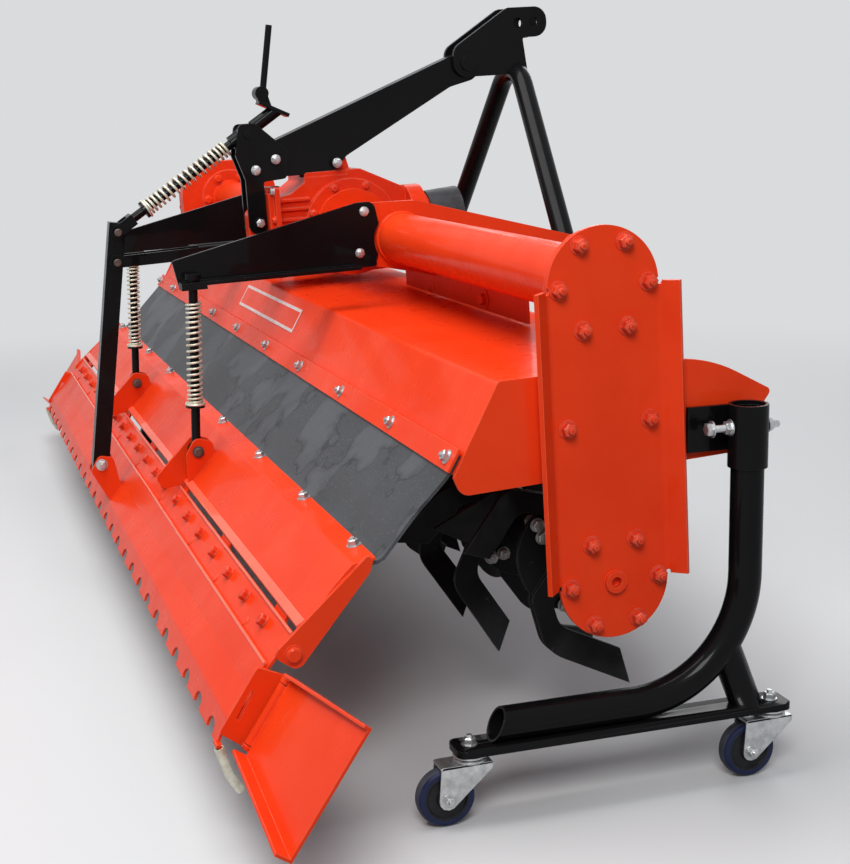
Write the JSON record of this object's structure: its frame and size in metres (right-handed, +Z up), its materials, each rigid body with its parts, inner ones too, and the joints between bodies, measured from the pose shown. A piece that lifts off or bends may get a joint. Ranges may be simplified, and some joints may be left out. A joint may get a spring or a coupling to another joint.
{
  "type": "rotary tiller",
  "caption": "Tractor mounted rotary tiller: central gearbox, hooded tined rotor, rubber apron, sprung tailgate with toothed levelling board, folding wings and stands on casters.",
  "frame": {"origin": "centre of the bounding box's foot, on the floor under the machine", "axes": "+X to the right of travel, along the rotor; +Y forward, toward the tractor; +Z up"},
  "size_m": [3.8028, 1.2168, 1.4118],
  "materials": {
    "red_paint": "gloss",
    "black_paint": "gloss",
    "blade_steel": "satin",
    "zinc": "satin",
    "spring_zinc": "satin",
    "apron_rubber": "matte",
    "guard_plastic": "matte",
    "wheel_rubber": "matte"
  },
  "bodies": {
    "frame": {"apron": "apron_rubber", "bearing_left": "black_paint", "bearing_right": "black_paint", "gear_case_left": "red_paint", "gearbox": "red_paint", "hitch_arch": "black_paint", "hitch_beam": "red_paint", "hitch_bracket_left": "red_paint", "hitch_bracket_right": "red_paint", "hitch_cheeks": "red_paint", "hitch_seats": "red_paint", "hood": "red_paint", "hood_batten": "red_paint", "hood_end_left": "red_paint", "hood_end_right": "red_paint", "hood_rail_left": "red_paint", "hood_rail_right": "red_paint", "main_tube_left": "red_paint", "main_tube_right": "red_paint", "mast": "black_paint", "pto_shield": "guard_plastic", "rear_bracket": "black_paint", "side_plate_right": "red_paint", "spring_arm_left": "black_paint", "spring_arm_right": "black_paint", "stand_bracket_left": "black_paint", "stand_bracket_right": "black_paint", "strut": "black_paint", "strut_pins": "zinc"},
    "rotor": {"rotor": "blade_steel"},
    "input_shaft": {"pto_shaft": "zinc"},
    "tailgate": {"tailgate": "red_paint"},
    "levelling_board": {"leveller_board": "red_paint"},
    "wing_right": {"wing_right": "red_paint"},
    "wing_left": {"wing_left": "red_paint"},
    "spring_rod_right": {"spring_rod_right": "black_paint", "rod_spring_right": "spring_zinc"},
    "spring_rod_left": {"spring_rod_left": "black_paint", "rod_spring_left": "spring_zinc"},
    "post": {"post": "black_paint"},
    "lower_link": {"lower_link": "black_paint"},
    "trunnion": {"trunnion": "black_paint"},
    "adjuster": {"adjuster": "black_paint", "adjuster_spring": "spring_zinc", "crank": "black_paint"},
    "stand_right": {"stand_right": "black_paint"},
    "stand_left": {"stand_left": "black_paint"},
    "caster_front_right": {"caster_fork_front_right": "zinc"},
    "wheel_front_right": {"caster_wheel_front_right": "wheel_rubber"},
    "caster_rear_right": {"caster_fork_rear_right": "zinc"},
    "wheel_rear_right": {"caster_wheel_rear_right": "wheel_rubber"},
    "caster_front_left": {"caster_fork_front_left": "zinc"},
    "wheel_front_left": {"caster_wheel_front_left": "wheel_rubber"},
    "caster_rear_left": {"caster_fork_rear_left": "zinc"},
    "wheel_rear_left": {"caster_wheel_rear_left": "wheel_rubber"}
  },
  "joints": [
    {"name": "rotor_spin", "type": "hinge", "parent": "frame", "child": "rotor", "pos_m": [0, 0.09983, 0.37], "axis": [1, 0, 0], "continuous": true},
    {"name": "input_spin", "type": "hinge", "parent": "frame", "child": "input_shaft", "pos_m": [0, 0.32648, 0.88394], "axis": [0, 0.9989, 0.0459], "continuous": true},
    {"name": "tailgate_swing", "type": "hinge", "parent": "frame", "child": "tailgate", "pos_m": [0, -0.18371, 0.5712], "axis": [-1, 0, 0], "range_deg": [0, 12], "deforming": ["apron", "rod_spring_right", "rod_spring_left"]},
    {"name": "board_hinge", "type": "hinge", "parent": "tailgate", "child": "levelling_board", "pos_m": [0, -0.46011, 0.31225], "axis": [-1, 0, 0], "range_deg": [0, 2.4]},
    {"name": "post_swing", "type": "hinge", "parent": "levelling_board", "child": "post", "pos_m": [0, -0.58321, 0.3116], "axis": [-1, 0, 0], "range_deg": [-8.75, 0]},
    {"name": "lower_link_swing", "type": "hinge", "parent": "frame", "child": "lower_link", "pos_m": [0, -0.15668, 0.83272], "axis": [-1, 0, 0], "range_deg": [0, 13.45]},
    {"name": "trunnion_swing", "type": "hinge", "parent": "frame", "child": "trunnion", "pos_m": [0, -0.18433, 1.10774], "axis": [-1, 0, 0], "range_deg": [0, 10.22]},
    {"name": "adjuster_slide", "type": "slide", "parent": "trunnion", "child": "adjuster", "axis": [0, 0.8228, 0.5684], "range_m": [0, 0.051], "deforming": ["adjuster_spring"]},
    {"name": "spring_rod_right_swing", "type": "hinge", "parent": "tailgate", "child": "spring_rod_right", "pos_m": [0.48, -0.42135, 0.42715], "axis": [-1, 0, 0], "range_deg": [-7.26, 0]},
    {"name": "wing_right_fold", "type": "hinge", "parent": "levelling_board", "child": "wing_right", "pos_m": [1.568, -0.51131, 0.22591], "axis": [0, -0.5559, -0.8313], "range_deg": [0, 90]},
    {"name": "stand_right_slide", "type": "slide", "parent": "frame", "child": "stand_right", "axis": [0, 0, 1], "range_m": [-0.08, 0]},
    {"name": "caster_front_right_swivel", "type": "hinge", "parent": "stand_right", "child": "caster_front_right", "pos_m": [1.59, 0.37983, 0.122], "axis": [0, 0, 1], "continuous": true},
    {"name": "wheel_front_right_spin", "type": "hinge", "parent": "caster_front_right", "child": "wheel_front_right", "pos_m": [1.59, 0.33583, 0.05], "axis": [1, 0, 0], "continuous": true},
    {"name": "caster_rear_right_swivel", "type": "hinge", "parent": "stand_right", "child": "caster_rear_right", "pos_m": [1.59, -0.18017, 0.122], "axis": [0, 0, 1], "continuous": true},
    {"name": "wheel_rear_right_spin", "type": "hinge", "parent": "caster_rear_right", "child": "wheel_rear_right", "pos_m": [1.59, -0.22417, 0.05], "axis": [1, 0, 0], "continuous": true},
    {"name": "spring_rod_left_swing", "type": "hinge", "parent": "tailgate", "child": "spring_rod_left", "pos_m": [-0.48, -0.42135, 0.42715], "axis": [-1, 0, 0], "range_deg": [-7.26, 0]},
    {"name": "wing_left_fold", "type": "hinge", "parent": "levelling_board", "child": "wing_left", "pos_m": [-1.568, -0.51131, 0.22591], "axis": [0, 0.5559, 0.8313], "range_deg": [0, 90]},
    {"name": "stand_left_slide", "type": "slide", "parent": "frame", "child": "stand_left", "axis": [0, 0, 1], "range_m": [-0.08, 0]},
    {"name": "caster_front_left_swivel", "type": "hinge", "parent": "stand_left", "child": "caster_front_left", "pos_m": [-1.59, 0.37983, 0.122], "axis": [0, 0, 1], "continuous": true},
    {"name": "wheel_front_left_spin", "type": "hinge", "parent": "caster_front_left", "child": "wheel_front_left", "pos_m": [-1.59, 0.33583, 0.05], "axis": [1, 0, 0], "continuous": true},
    {"name": "caster_rear_left_swivel", "type": "hinge", "parent": "stand_left", "child": "caster_rear_left", "pos_m": [-1.59, -0.18017, 0.122], "axis": [0, 0, 1], "continuous": true},
    {"name": "wheel_rear_left_spin", "type": "hinge", "parent": "caster_rear_left", "child": "wheel_rear_left", "pos_m": [-1.59, -0.22417, 0.05], "axis": [1, 0, 0], "continuous": true}
  ],
  "couplings": [
    {"joint": "input_spin", "follows": "rotor_spin", "ratio": -2.4},
    {"joint": "board_hinge", "follows": "tailgate_swing", "ratio": 0.2},
    {"joint": "post_swing", "follows": "tailgate_swing", "ratio": -0.7293},
    {"joint": "lower_link_swing", "follows": "tailgate_swing", "ratio": 1.121},
    {"joint": "trunnion_swing", "follows": "tailgate_swing", "ratio": 0.852},
    {"joint": "adjuster_slide", "follows": "tailgate_swing", "m_per_rad": 0.2434},
    {"joint": "spring_rod_right_swing", "follows": "tailgate_swing", "ratio": -0.605},
    {"joint": "spring_rod_left_swing", "follows": "tailgate_swing", "ratio": -0.605}
  ]
}
